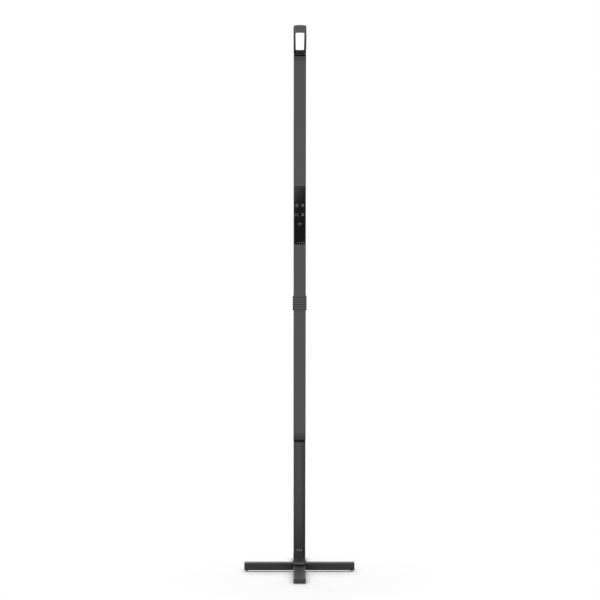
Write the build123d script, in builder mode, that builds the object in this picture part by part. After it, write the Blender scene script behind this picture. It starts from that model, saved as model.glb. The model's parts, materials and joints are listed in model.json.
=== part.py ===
from build123d import *
import os
from math import cos, radians, sin

# Cordless floor lamp: a two-section light pole that turns on a battery tube and a cross base.
# The origin is on the floor, on the axis of the tube. +Z is up and the control side faces -Y.
# All sizes are in millimetres.

# Fits
slip = 0.1                      # each side, between pieces that are pushed together
running_clearance = 0.05        # radial, where a pin or a spindle turns
grip_clearance = 0.02           # radial, where a screw or a pin is held fast
screw_room = 0.3                # radial, round a screw that only passes through
moving_gap = 0.3                # between pieces that move past each other
swivel_play = 0.1               # axial, between the faces of the swivel

# Cross bar, from side to side
cross_bar_length = 274.0
cross_bar_depth = 18.0
cross_bar_height = 16.7
cross_bar_edge = 1.5
cross_bar_end_edge = 1.0
side_foot_diameter = 9.0
side_foot_height = 4.5
side_foot_inset = 7.5
side_foot_edge = 0.8
foot_peg_diameter = 4.0
foot_peg_length = 6.0

# Fore-and-aft bar, half-lapped under the cross bar
long_bar_length = 274.0
long_bar_width = 30.0
long_bar_root_height = 14.0
long_bar_tip_height = 11.7
long_bar_flat_length = 44.0
long_bar_edge = 1.6
long_bar_end_edge = 1.0
lap_thickness = 9.0
end_foot_length = 22.0
end_foot_depth = 8.0
end_foot_height = 1.5
end_foot_recess = 1.0
end_foot_inset = 7.0

# Screws that hold both bars to the flange
base_screw_diameter = 5.0
base_screw_head_diameter = 9.0
base_screw_head_height = 3.0
base_screw_head_sink = 4.0
base_screw_spacing = 16.0
base_screw_bite = 5.0

# Flared flange
flange_rim_radius = 20.5
flange_rim_height = 1.6
flange_rim_drop = 1.7           # how far the rim hangs below the top of the cross bar
flange_flare_height = 12.5
flange_lip = 0.5                # wall left round the tube at the top of the flare
flange_neck_out = 0.4           # how far the flare stands out from the lip at its neck
flange_neck_height = 6.0
flange_knee_out = 2.3           # and lower, at its knee
flange_knee_height = 3.0
flange_saddle_width = 25.0      # straight part across its front and back
flange_saddle_rise = 4.9
flange_floor = 6.5

# Battery: cells, their sleeve and the tube round them
cell_diameter = 21.2
cell_length = 70.2
cell_count = 3
cell_gap = 0.2
sleeve_wall = 1.8
tube_wall = 2.1
tube_edge = 0.4
sleeve_floor = 2.0
sleeve_leg_height = 16.0
sleeve_leg_window = 16.0
contact_size = 12.0
contact_thickness = 0.6
spring_height = 8.0
spring_sheet = 0.6
spring_span = 16.0
spring_width = 10.0
spring_tip = 2.0
lid_thickness = 4.0
lead_diameter = 3.4
service_room = 11.0             # free height between the battery and the swivel

# Charging electronics at the foot of the tube
carrier_width = 17.0
carrier_height = 17.0
carrier_wall = 2.0
carrier_top = 2.0
board_thickness = 1.6
port_width = 8.9
port_height = 3.2
port_depth = 7.5
port_shell = 0.35
port_setback = 0.5
port_room = 0.25
port_tongue_width = 6.6
port_tongue_height = 0.7
port_tongue_length = 5.0
indicator_count = 3
indicator_pitch = 5.0
indicator_width = 2.0
indicator_height = 5.0
indicator_level = 9.4          # middle of the light bars above the charge board
indicator_room = 0.1
indicator_setback = 0.15
guide_plate_width = 13.0
guide_plate_thickness = 1.5
guide_plate_front = 9.0         # distance of the plate's front from the axis
guide_plate_rise = 1.0

# Swivel in the mouth of the tube
bush_length = 28.0
bush_flange_height = 4.8
washer_diameter = 24.0
washer_thickness = 0.8
spindle_diameter = 14.0
spindle_bore = 8.0
spindle_tail = 5.0
clip_thickness = 1.2
clip_ring = 2.6                 # how far the clip stands out of the spindle
clip_groove = 1.0
clip_mouth = 8.0

# Pole section: a channel with a web, closed at the rear by an opal diffuser
pole_width = 30.0
channel_depth = 20.0
diffuser_crown = 4.0
channel_wall = 1.6
web_thickness = 1.6
front_cavity_depth = 9.5
pole_corner = 2.4
diffuser_sheet = 1.5
diffuser_tongue = 1.2
diffuser_tongue_length = 4.0
bead_height = 0.4
bead_width = 1.0
bead_level = 2.6                # middle of the snap bead below the rear edge of the channel

# Pole lengths
foot_plate_thickness = 3.0
prong_length = 15.0
prong_wall = 2.0
lower_section_length = 335.0
upper_section_length = 603.3
spigot_length = 110.0

# Light source
strip_width = 12.0
strip_thickness = 1.2
strip_end_room = 8.0
chip_size = 5.0
chip_height = 1.6
chip_spacing = 27.0

# Touch panel in the upper section
panel_level = 145.5             # bottom of the glass above the joint of the pole
panel_height = 141.7
panel_gap = 0.2
glass_thickness = 1.1
glass_corner = 1.0
tray_wall = 1.2
tray_floor = 1.5
icon_guide_margin = 2.0
icon_well_size = 4.5
icon_column_spacing = 14.7
icon_row_spacing = 23.1
icon_top_drop = 46.2            # first row of icons below the top of the glass
level_well_size = 2.0
level_well_count = 4
level_well_spacing = 5.8
level_well_rise = 4.3           # row of charge marks above the bottom of the glass

# Ribbed sleeve over the joint of the pole
grip_height = 34.5
grip_wall = 1.7
grip_edge = 0.4
groove_count = 6
groove_pitch = 5.77
groove_width = 1.7
groove_depth = 0.8

# Top cap with the hinge lug
cap_neck_height = 2.5
cap_neck_inset = 0.4
cap_plate_height = 3.0
cap_edge = 0.6
eye_radius = 4.0
pin_diameter = 3.0
pin_setback = 0.4

# Loop: two tapered arms and a domed top, leaning forward at rest
loop_width = 30.0               # at the pin
loop_flare = 0.6                # how far each arm leans out on its way up
loop_arm = 5.0
loop_length = 72.5
loop_top = 4.5
loop_dome = 3.0
loop_depth = 28.0
loop_taper_length = 46.0        # from the pin to where the arms reach full depth
loop_corner = 4.0
loop_inner_corner = 2.5
loop_round = 6.0
loop_lean = 38.0                # degrees from upright

# Heights, from the floor up
cross_bar_bottom = side_foot_height
cross_bar_top = cross_bar_bottom + cross_bar_height
lap_level = end_foot_height + lap_thickness
rim_bottom = cross_bar_top - flange_rim_drop
tube_bottom = cross_bar_top + flange_floor
board_bottom = tube_bottom + carrier_height
board_top = board_bottom + board_thickness
sleeve_floor_top = board_top + sleeve_leg_height + sleeve_floor
cells_bottom = sleeve_floor_top + contact_thickness
cells_top = cells_bottom + cell_count * cell_length + (cell_count - 1) * cell_gap
sleeve_top = cells_top + spring_height
lid_top = sleeve_top + lid_thickness
bush_bottom = lid_top + service_room
tube_top = bush_bottom + bush_length
washer_bottom = tube_top + bush_flange_height
pole_bottom = washer_bottom + washer_thickness + swivel_play
channel_bottom = pole_bottom + foot_plate_thickness
joint_level = channel_bottom + lower_section_length
pole_top = joint_level + upper_section_length
cap_plate_bottom = pole_top + cap_neck_height
cap_plate_top = cap_plate_bottom + cap_plate_height
pin_level = cap_plate_top + eye_radius + moving_gap

# Radii of the round column
cell_room_radius = cell_diameter / 2 + slip
sleeve_radius = cell_room_radius + sleeve_wall
tube_bore_radius = sleeve_radius + slip
tube_radius = tube_bore_radius + tube_wall
spindle_radius = spindle_diameter / 2
bush_bore_radius = spindle_radius + running_clearance

# Planes and widths of the pole section
pole_depth = channel_depth + diffuser_crown
front_face = -pole_depth / 2
channel_back = front_face + channel_depth
cavity_front = front_face + channel_wall
web_front = cavity_front + front_cavity_depth
web_back = web_front + web_thickness
cavity_width = pole_width - 2 * channel_wall
cavity_middle = (cavity_front + web_front) / 2
plug_width = cavity_width - 2 * slip
plug_depth = front_cavity_depth - 2 * slip

# Touch panel, from the web forward
panel_bottom = joint_level + panel_level
panel_middle = panel_bottom + panel_height / 2
panel_top = panel_bottom + panel_height
glass_back = front_face + glass_thickness
tray_floor_front = web_front - tray_floor
board_front = tray_floor_front - board_thickness
icon_rows = [panel_top - icon_top_drop - row * icon_row_spacing for row in range(3)]
icon_places = [(side * icon_column_spacing / 2, level) for level in icon_rows[:2] for side in (-1, 1)]
icon_places.append((0, icon_rows[2]))

os.makedirs("parts", exist_ok=True)


def finish(piece, name):
    """Label a finished piece and write its file."""
    piece.part.label = name
    export_step(piece.part, f"parts/{name}.step")


def pole_outline(margin=0.0):
    """Outline of channel and diffuser together, grown or shrunk evenly by a margin."""
    half_width = pole_width / 2
    with BuildLine() as outline:
        Polyline(
            (-half_width, channel_back),
            (-half_width, front_face),
            (half_width, front_face),
            (half_width, channel_back),
        )
        ThreePointArc(
            (half_width, channel_back),
            (0, channel_back + diffuser_crown),
            (-half_width, channel_back),
        )
    make_face(outline.edges())
    fillet(vertices().group_by(Axis.Y)[0], pole_corner)
    if margin:
        offset(amount=margin, kind=Kind.INTERSECTION)


def channel_section():
    """Channel: front wall, two sides, a web for the light strip and a groove for each snap bead."""
    with Locations((0, front_face)):
        Rectangle(pole_width, channel_depth, align=(Align.CENTER, Align.MIN))
    fillet(vertices().group_by(Axis.Y)[0], pole_corner)
    with Locations((0, cavity_middle)):
        Rectangle(cavity_width, front_cavity_depth, mode=Mode.SUBTRACT)
    with Locations((0, web_back)):
        Rectangle(
            cavity_width,
            channel_back - web_back,
            align=(Align.CENTER, Align.MIN),
            mode=Mode.SUBTRACT,
        )
    with Locations((0, channel_back - bead_level)):
        Rectangle(cavity_width + 2 * bead_height, bead_width + 2 * slip, mode=Mode.SUBTRACT)


def diffuser_section():
    """Opal cover: a shallow arch on the channel's edges with two tongues that snap inside its walls."""
    half_width = pole_width / 2
    tongue_outside = cavity_width / 2 - slip
    tongue_inside = tongue_outside - diffuser_tongue
    tongue_end = channel_back - diffuser_tongue_length
    with BuildLine() as arch:
        Line((-half_width, channel_back), (half_width, channel_back))
        ThreePointArc(
            (half_width, channel_back),
            (0, channel_back + diffuser_crown),
            (-half_width, channel_back),
        )
    make_face(arch.edges())
    for side in (-1, 1):
        with Locations((side * (tongue_outside + tongue_inside) / 2, tongue_end)):
            Rectangle(diffuser_tongue, diffuser_tongue_length, align=(Align.CENTER, Align.MIN))
        with Locations((side * tongue_outside, channel_back - bead_level)):
            Rectangle(2 * (bead_height - slip), bead_width)
    with BuildLine() as hollow:
        Line((-tongue_inside, channel_back), (tongue_inside, channel_back))
        ThreePointArc(
            (tongue_inside, channel_back),
            (0, channel_back + diffuser_crown - diffuser_sheet),
            (-tongue_inside, channel_back),
        )
    make_face(hollow.edges(), mode=Mode.SUBTRACT)


# Base

with BuildPart() as cross_bar:
    with Locations((0, 0, cross_bar_bottom + cross_bar_height / 2)):
        Box(cross_bar_length, cross_bar_depth, cross_bar_height)
    fillet(cross_bar.edges().filter_by(Axis.X), cross_bar_edge)
    chamfer(cross_bar.faces().filter_by(Axis.X).edges(), cross_bar_end_edge)
    with Locations((0, 0, lap_level)):
        Box(
            long_bar_width + 2 * slip,
            cross_bar_depth,
            lap_level,
            align=(Align.CENTER, Align.CENTER, Align.MAX),
            mode=Mode.SUBTRACT,
        )
    with BuildSketch(Plane.XY.offset(cross_bar_top)):
        with GridLocations(base_screw_spacing, 0, 2, 1):
            Circle(base_screw_diameter / 2 + screw_room)
    extrude(amount=-cross_bar_height, mode=Mode.SUBTRACT)
    with BuildSketch(Plane.XY.offset(cross_bar_bottom)):
        with GridLocations(cross_bar_length - 2 * side_foot_inset, 0, 2, 1):
            Circle(foot_peg_diameter / 2 + slip)
    extrude(amount=foot_peg_length + slip, mode=Mode.SUBTRACT)
finish(cross_bar, "cross_bar")

with BuildPart() as side_feet:
    with BuildSketch():
        with GridLocations(cross_bar_length - 2 * side_foot_inset, 0, 2, 1):
            Circle(side_foot_diameter / 2)
    extrude(amount=side_foot_height)
    chamfer(side_feet.edges().group_by(Axis.Z)[0], side_foot_edge)
    with BuildSketch(Plane.XY.offset(side_foot_height)):
        with GridLocations(cross_bar_length - 2 * side_foot_inset, 0, 2, 1):
            Circle(foot_peg_diameter / 2)
    extrude(amount=foot_peg_length)
finish(side_feet, "side_feet")

with BuildPart() as front_back_bar:
    half_length = long_bar_length / 2
    half_flat = long_bar_flat_length / 2
    root_top = end_foot_height + long_bar_root_height
    tip_top = end_foot_height + long_bar_tip_height
    with BuildSketch(Plane.YZ):
        with BuildLine():
            Polyline(
                (-half_length, end_foot_height),
                (-half_length, tip_top),
                (-half_flat, root_top),
                (half_flat, root_top),
                (half_length, tip_top),
                (half_length, end_foot_height),
                close=True,
            )
        make_face()
    extrude(amount=long_bar_width / 2, both=True)
    side_edges = front_back_bar.edges().filter_by(Axis.X, reverse=True)
    upper_edges = side_edges.filter_by_position(Axis.Z, end_foot_height, root_top, (False, True))
    long_edges = upper_edges.filter_by(Axis.Z, reverse=True)
    fillet(long_edges, long_bar_edge)
    end_rims = front_back_bar.faces().filter_by(Axis.Y).edges()
    chamfer(
        end_rims.filter_by_position(Axis.Z, end_foot_height, root_top, (False, True)),
        long_bar_end_edge,
    )
    with Locations((0, 0, lap_level)):
        Box(
            long_bar_width,
            cross_bar_depth + 2 * slip,
            root_top,
            align=(Align.CENTER, Align.CENTER, Align.MIN),
            mode=Mode.SUBTRACT,
        )
    with BuildSketch(Plane.XY.offset(end_foot_height)):
        with GridLocations(base_screw_spacing, 0, 2, 1):
            Circle(base_screw_diameter / 2 + screw_room)
    extrude(amount=lap_thickness, mode=Mode.SUBTRACT)
    with BuildSketch(Plane.XY.offset(end_foot_height)):
        with GridLocations(base_screw_spacing, 0, 2, 1):
            Circle(base_screw_head_diameter / 2 + screw_room)
    extrude(amount=base_screw_head_sink, mode=Mode.SUBTRACT)
    end_foot_span = long_bar_length - 2 * end_foot_inset - end_foot_depth
    with BuildSketch(Plane.XY.offset(end_foot_height)):
        with GridLocations(0, end_foot_span, 1, 2):
            Rectangle(end_foot_length + 2 * slip, end_foot_depth + 2 * slip)
    extrude(amount=end_foot_recess, mode=Mode.SUBTRACT)
finish(front_back_bar, "front_back_bar")

with BuildPart() as end_feet:
    with BuildSketch():
        with GridLocations(0, end_foot_span, 1, 2):
            Rectangle(end_foot_length, end_foot_depth)
    extrude(amount=end_foot_height + end_foot_recess)
finish(end_feet, "end_feet")

with BuildPart() as base_screws:
    screw_seat = end_foot_height + base_screw_head_sink
    with BuildSketch(Plane.XY.offset(screw_seat)):
        with GridLocations(base_screw_spacing, 0, 2, 1):
            Circle(base_screw_head_diameter / 2)
    extrude(amount=-base_screw_head_height)
    with BuildSketch(Plane.XY.offset(screw_seat)):
        with GridLocations(base_screw_spacing, 0, 2, 1):
            Circle(base_screw_diameter / 2)
    extrude(amount=cross_bar_top + base_screw_bite - screw_seat)
finish(base_screws, "base_screws")

with BuildPart() as base_flange:
    socket_radius = tube_radius + slip
    lip_radius = socket_radius + flange_lip
    rim_top = rim_bottom + flange_rim_height
    flare_top = rim_top + flange_flare_height
    with BuildSketch(Plane.XZ):
        with BuildLine():
            Polyline(
                (lip_radius, flare_top),
                (socket_radius, flare_top),
                (socket_radius, tube_bottom),
                (0, tube_bottom),
                (0, rim_bottom),
                (flange_rim_radius, rim_bottom),
                (flange_rim_radius, rim_top),
                (lip_radius + flange_knee_out, rim_top + flange_knee_height),
                (lip_radius + flange_neck_out, rim_top + flange_neck_height),
                close=True,
            )
        make_face()
    revolve(axis=Axis.Z)
    with BuildSketch(Plane.YZ):
        with BuildLine():
            Polyline(
                (-flange_rim_radius, rim_bottom),
                (flange_rim_radius, rim_bottom),
                (flange_rim_radius, rim_top),
                (tube_radius, rim_top + flange_saddle_rise),
                (-tube_radius, rim_top + flange_saddle_rise),
                (-flange_rim_radius, rim_top),
                close=True,
            )
        make_face()
    extrude(amount=flange_saddle_width / 2, both=True)
    with Locations((0, 0, cross_bar_top)):
        Box(
            2 * flange_rim_radius,
            cross_bar_depth + 2 * slip,
            2 * flange_rim_drop,
            align=(Align.CENTER, Align.CENTER, Align.MAX),
            mode=Mode.SUBTRACT,
        )
    with BuildSketch(Plane.XY.offset(cross_bar_top)):
        with GridLocations(base_screw_spacing, 0, 2, 1):
            Circle(base_screw_diameter / 2 + grip_clearance)
    extrude(amount=base_screw_bite + slip, mode=Mode.SUBTRACT)
finish(base_flange, "base_flange")

# Battery tube and what it holds

port_middle = board_top + port_height / 2
indicator_middle = board_top + indicator_level

with BuildPart() as battery_tube:
    with BuildSketch(Plane.XY.offset(tube_bottom)):
        Circle(tube_radius)
        Circle(tube_bore_radius, mode=Mode.SUBTRACT)
    extrude(amount=tube_top - tube_bottom)
    outer_rims = battery_tube.edges().filter_by(GeomType.CIRCLE).sort_by(SortBy.RADIUS)[-2:]
    chamfer(outer_rims, tube_edge)
    with BuildSketch(Plane.XZ):
        with Locations((0, port_middle)):
            SlotOverall(port_width + 2 * port_room, port_height + 2 * port_room)
    extrude(amount=-tube_radius, mode=Mode.SUBTRACT)
    with BuildSketch(Plane.XZ):
        with Locations((0, indicator_middle)):
            with GridLocations(indicator_pitch, 0, indicator_count, 1):
                Rectangle(indicator_width + 2 * indicator_room, indicator_height + 2 * indicator_room)
    extrude(amount=tube_radius, mode=Mode.SUBTRACT)
finish(battery_tube, "battery_tube")

with BuildPart() as board_carrier:
    with BuildSketch(Plane.XY.offset(tube_bottom)):
        Rectangle(carrier_width, carrier_width)
    extrude(amount=carrier_height)
    with BuildSketch(Plane.XY.offset(tube_bottom)):
        Rectangle(carrier_width - 2 * carrier_wall, carrier_width - 2 * carrier_wall)
    extrude(amount=carrier_height - carrier_top, mode=Mode.SUBTRACT)
finish(board_carrier, "board_carrier")

with BuildPart() as charge_board:
    with BuildSketch(Plane.XY.offset(board_bottom)):
        Circle(sleeve_radius)
    extrude(amount=board_thickness)
finish(charge_board, "charge_board")

with BuildPart() as charge_port:
    mouth = Plane.XZ.offset(-(tube_radius - port_setback))
    with BuildSketch(mouth):
        with Locations((0, port_middle)):
            SlotOverall(port_width, port_height)
    extrude(amount=port_depth)
    with BuildSketch(mouth):
        with Locations((0, port_middle)):
            SlotOverall(port_width - 2 * port_shell, port_height - 2 * port_shell)
    extrude(amount=port_depth - 2 * port_shell, mode=Mode.SUBTRACT)
    with BuildSketch(mouth.offset(port_depth)):
        with Locations((0, port_middle)):
            Rectangle(port_tongue_width, port_tongue_height)
    extrude(amount=-(2 * port_shell + port_tongue_length))
finish(charge_port, "charge_port")

with BuildPart() as indicator_pipe:
    with BuildSketch(Plane.XZ.offset(guide_plate_front)):
        with Locations((0, indicator_middle)):
            with GridLocations(indicator_pitch, 0, indicator_count, 1):
                Rectangle(indicator_width, indicator_height)
    extrude(amount=tube_radius - guide_plate_front)
    with Locations((0, 0, indicator_middle)):
        Cylinder(tube_radius - indicator_setback, 2 * indicator_height, mode=Mode.INTERSECT)
    plate_height = indicator_middle + indicator_height / 2 + guide_plate_rise - board_top
    with BuildSketch(Plane.XZ.offset(guide_plate_front)):
        with Locations((0, board_top)):
            Rectangle(guide_plate_width, plate_height, align=(Align.CENTER, Align.MIN))
    extrude(amount=-guide_plate_thickness)
finish(indicator_pipe, "indicator_pipe")

with BuildPart() as battery_sleeve:
    with BuildSketch(Plane.XY.offset(board_top)):
        Circle(sleeve_radius)
    extrude(amount=sleeve_top - board_top)
    with BuildSketch(Plane.XY.offset(sleeve_floor_top)):
        Circle(cell_room_radius)
    extrude(amount=sleeve_top - sleeve_floor_top, mode=Mode.SUBTRACT)
    with BuildSketch(Plane.XY.offset(board_top)):
        Rectangle(sleeve_leg_window, 2 * sleeve_radius)
    extrude(amount=sleeve_leg_height, mode=Mode.SUBTRACT)
finish(battery_sleeve, "battery_sleeve")

with BuildPart() as lower_contact:
    with BuildSketch(Plane.XY.offset(sleeve_floor_top)):
        Rectangle(contact_size, contact_size)
    extrude(amount=contact_thickness)
finish(lower_contact, "lower_contact")

with BuildPart() as battery_cells:
    for cell in range(cell_count):
        with BuildSketch(Plane.XY.offset(cells_bottom + cell * (cell_length + cell_gap))):
            Circle(cell_diameter / 2)
        extrude(amount=cell_length)
finish(battery_cells, "battery_cells")

with BuildPart() as contact_spring:
    with BuildSketch(Plane.XZ):
        with BuildLine():
            Polyline(
                (-spring_span / 2, sleeve_top),
                (-spring_tip / 2, cells_top),
                (spring_tip / 2, cells_top),
                (spring_span / 2, sleeve_top),
                (spring_span / 2 - spring_tip, sleeve_top),
                (0, cells_top + spring_sheet),
                (-spring_span / 2 + spring_tip, sleeve_top),
                close=True,
            )
        make_face()
    extrude(amount=spring_width / 2, both=True)
finish(contact_spring, "contact_spring")

with BuildPart() as sleeve_lid:
    with BuildSketch(Plane.XY.offset(sleeve_top)):
        Circle(sleeve_radius)
    extrude(amount=lid_thickness)
finish(sleeve_lid, "sleeve_lid")

with BuildPart() as power_lead:
    with BuildSketch(Plane.XY.offset(lid_top)):
        Circle(lead_diameter / 2)
    extrude(amount=pole_bottom - lid_top)
finish(power_lead, "power_lead")

# Swivel

with BuildPart() as swivel_bush:
    with BuildSketch(Plane.XY.offset(bush_bottom)):
        Circle(sleeve_radius)
    extrude(amount=bush_length)
    with BuildSketch(Plane.XY.offset(tube_top)):
        Circle(tube_radius)
    extrude(amount=bush_flange_height)
    with BuildSketch(Plane.XY.offset(bush_bottom)):
        Circle(bush_bore_radius)
    extrude(amount=bush_length + bush_flange_height, mode=Mode.SUBTRACT)
finish(swivel_bush, "swivel_bush")

with BuildPart() as friction_washer:
    with BuildSketch(Plane.XY.offset(washer_bottom)):
        Circle(washer_diameter / 2)
        Circle(bush_bore_radius, mode=Mode.SUBTRACT)
    extrude(amount=washer_thickness)
finish(friction_washer, "friction_washer")

clip_top = bush_bottom - swivel_play
with BuildPart() as spindle:
    spindle_bottom = bush_bottom - spindle_tail
    with BuildSketch(Plane.XY.offset(spindle_bottom)):
        Circle(spindle_radius)
        Circle(spindle_bore / 2, mode=Mode.SUBTRACT)
    extrude(amount=channel_bottom - spindle_bottom)
    with BuildSketch(Plane.XY.offset(clip_top)):
        Circle(spindle_radius)
        Circle(spindle_radius - clip_groove, mode=Mode.SUBTRACT)
    extrude(amount=-clip_thickness, mode=Mode.SUBTRACT)
finish(spindle, "spindle")

with BuildPart() as spindle_clip:
    with BuildSketch(Plane.XY.offset(clip_top)):
        Circle(spindle_radius + clip_ring)
        Circle(spindle_radius - clip_groove + grip_clearance, mode=Mode.SUBTRACT)
        with Locations((0, 0)):
            Rectangle(
                clip_mouth,
                spindle_radius + clip_ring,
                align=(Align.CENTER, Align.MIN),
                mode=Mode.SUBTRACT,
            )
    extrude(amount=-clip_thickness)
finish(spindle_clip, "spindle_clip")

# Pole

with BuildPart() as pole_foot:
    with BuildSketch(Plane.XY.offset(pole_bottom)):
        pole_outline()
        Circle(spindle_radius + grip_clearance, mode=Mode.SUBTRACT)
    extrude(amount=foot_plate_thickness)
    with BuildSketch(Plane.XY.offset(channel_bottom)):
        with Locations((0, cavity_middle)):
            Rectangle(plug_width, plug_depth)
            Rectangle(plug_width - 2 * prong_wall, plug_depth - 2 * prong_wall, mode=Mode.SUBTRACT)
    extrude(amount=prong_length)
finish(pole_foot, "pole_foot")

with BuildPart() as lower_channel:
    with BuildSketch(Plane.XY.offset(channel_bottom)):
        channel_section()
    extrude(amount=lower_section_length)
finish(lower_channel, "lower_channel")

with BuildPart() as upper_channel:
    with BuildSketch(Plane.XY.offset(joint_level)):
        channel_section()
    extrude(amount=upper_section_length)
    with BuildSketch(Plane.XZ.offset(-cavity_front)):
        with Locations((0, panel_middle)):
            Rectangle(cavity_width, panel_height + 2 * panel_gap)
    extrude(amount=channel_wall, mode=Mode.SUBTRACT)
finish(upper_channel, "upper_channel")

for section, bottom, length in (
    ("lower", channel_bottom, lower_section_length),
    ("upper", joint_level, upper_section_length),
):
    with BuildPart() as diffuser:
        with BuildSketch(Plane.XY.offset(bottom)):
            diffuser_section()
        extrude(amount=length)
    finish(diffuser, f"{section}_diffuser")

    strip_length = length - 2 * strip_end_room
    strip_middle = bottom + length / 2
    strip_back = web_back + strip_thickness
    with BuildPart() as led_strip:
        with BuildSketch(Plane.XZ.offset(-web_back)):
            with Locations((0, strip_middle)):
                Rectangle(strip_width, strip_length)
        extrude(amount=-strip_thickness)
    finish(led_strip, f"{section}_led_strip")

    with BuildPart() as leds:
        chip_count = int(strip_length / chip_spacing)
        with BuildSketch(Plane.XZ.offset(-strip_back)):
            with Locations((0, strip_middle)):
                with GridLocations(0, chip_spacing, 1, chip_count):
                    Rectangle(chip_size, chip_size)
        extrude(amount=-chip_height)
    finish(leds, f"{section}_leds")

with BuildPart() as joint_spigot:
    with BuildSketch(Plane.XY.offset(joint_level - spigot_length / 2)):
        with Locations((0, cavity_middle)):
            Rectangle(plug_width, plug_depth)
            Rectangle(plug_width - 2 * prong_wall, plug_depth - 2 * prong_wall, mode=Mode.SUBTRACT)
    extrude(amount=spigot_length)
finish(joint_spigot, "joint_spigot")

# Touch panel

with BuildPart() as panel_tray:
    with BuildSketch(Plane.XZ.offset(-web_front)):
        with Locations((0, panel_middle)):
            Rectangle(plug_width, panel_height)
    extrude(amount=web_front - glass_back)
    with BuildSketch(Plane.XZ.offset(-glass_back)):
        with Locations((0, panel_middle)):
            Rectangle(plug_width - 2 * tray_wall, panel_height - 2 * tray_wall)
    extrude(amount=glass_back - tray_floor_front, mode=Mode.SUBTRACT)
finish(panel_tray, "panel_tray")

board_width = plug_width - 2 * tray_wall - 2 * slip
board_height = panel_height - 2 * tray_wall - 2 * slip
with BuildPart() as control_board:
    with BuildSketch(Plane.XZ.offset(-tray_floor_front)):
        with Locations((0, panel_middle)):
            Rectangle(board_width, board_height)
    extrude(amount=board_thickness)
finish(control_board, "control_board")

with BuildPart() as icon_guide:
    with BuildSketch(Plane.XZ.offset(-board_front)):
        with Locations((0, panel_middle)):
            Rectangle(board_width - 2 * icon_guide_margin, board_height - icon_guide_margin)
        with Locations(*icon_places):
            Rectangle(icon_well_size, icon_well_size, mode=Mode.SUBTRACT)
        with Locations((0, panel_bottom + level_well_rise)):
            with GridLocations(level_well_spacing, 0, level_well_count, 1):
                Rectangle(level_well_size, level_well_size, mode=Mode.SUBTRACT)
    extrude(amount=board_front - glass_back)
finish(icon_guide, "icon_guide")

with BuildPart() as touch_glass:
    with BuildSketch(Plane.XZ.offset(-glass_back)):
        with Locations((0, panel_middle)):
            RectangleRounded(plug_width, panel_height, glass_corner)
    extrude(amount=glass_thickness)
finish(touch_glass, "touch_glass")

# Ribbed sleeve: a thin core round the pole's outline with a stack of ribs on it

with BuildPart() as lock_sleeve:
    sleeve_bottom = joint_level - grip_height / 2
    first_groove = joint_level - groove_pitch * (groove_count - 1) / 2
    groove_levels = [first_groove + groove * groove_pitch for groove in range(groove_count)]
    rib_bottoms = [sleeve_bottom] + [level + groove_width / 2 for level in groove_levels]
    rib_tops = [level - groove_width / 2 for level in groove_levels] + [sleeve_bottom + grip_height]
    with BuildSketch(Plane.XY.offset(sleeve_bottom)):
        pole_outline(moving_gap + grip_wall - groove_depth)
    extrude(amount=grip_height)
    for rib_bottom, rib_top in zip(rib_bottoms, rib_tops):
        with BuildSketch(Plane.XY.offset(rib_bottom)):
            pole_outline(moving_gap + grip_wall)
        extrude(amount=rib_top - rib_bottom)
    end_rims = lock_sleeve.edges().group_by(Axis.Z)[0] + lock_sleeve.edges().group_by(Axis.Z)[-1]
    chamfer(end_rims, grip_edge)
    with BuildSketch(Plane.XY.offset(sleeve_bottom)):
        pole_outline(moving_gap)
    extrude(amount=grip_height, mode=Mode.SUBTRACT)
finish(lock_sleeve, "lock_sleeve")

# Top cap and loop

lug_width = loop_width - 2 * loop_arm - 2 * moving_gap
with BuildPart() as end_cap:
    with BuildSketch(Plane.XY.offset(pole_top)):
        with Locations((0, front_face + cap_neck_inset)):
            Rectangle(
                pole_width - 2 * cap_neck_inset,
                channel_depth - cap_neck_inset,
                align=(Align.CENTER, Align.MIN),
            )
    extrude(amount=cap_neck_height)
    with BuildSketch(Plane.XY.offset(cap_plate_bottom)):
        pole_outline()
    extrude(amount=cap_plate_height)
    chamfer(end_cap.edges().group_by(Axis.Z)[-1], cap_edge)
    with BuildSketch(Plane.YZ):
        with Locations((0, cap_plate_top)):
            Rectangle(2 * eye_radius, pin_level - cap_plate_top, align=(Align.CENTER, Align.MIN))
        with Locations((0, pin_level)):
            Circle(eye_radius)
    extrude(amount=lug_width / 2, both=True)
    with BuildSketch(Plane.YZ):
        with Locations((0, pin_level)):
            Circle(pin_diameter / 2 + running_clearance)
    extrude(amount=lug_width / 2, both=True, mode=Mode.SUBTRACT)
    with BuildSketch(Plane.XY.offset(pole_top)):
        with Locations((0, cavity_middle)):
            Rectangle(plug_width, plug_depth)
            Rectangle(plug_width - 2 * prong_wall, plug_depth - 2 * prong_wall, mode=Mode.SUBTRACT)
    extrude(amount=-prong_length)
finish(end_cap, "end_cap")

# The loop is drawn upright on a plane through its pin that leans forward with it
lean = radians(loop_lean)
loop_front = Plane(origin=(0, 0, pin_level), x_dir=(1, 0, 0), z_dir=(0, -cos(lean), -sin(lean)))
loop_side = Plane(origin=(0, 0, pin_level), x_dir=(0, cos(lean), sin(lean)), z_dir=(1, 0, 0))


def loop_arch(half_width, top, corner):
    """Sides that lean out a little from the pin up to a domed top with round corners."""
    shoulder = top - loop_dome
    shoulder_half = half_width + loop_flare
    with BuildLine() as arch:
        Polyline(
            (-shoulder_half, shoulder),
            (-half_width, 0),
            (-half_width, -eye_radius),
            (half_width, -eye_radius),
            (half_width, 0),
            (shoulder_half, shoulder),
        )
        ThreePointArc((shoulder_half, shoulder), (0, top), (-shoulder_half, shoulder))
    make_face(arch.edges())
    fillet(vertices().group_by(Axis.Y)[-1], corner)


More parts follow.
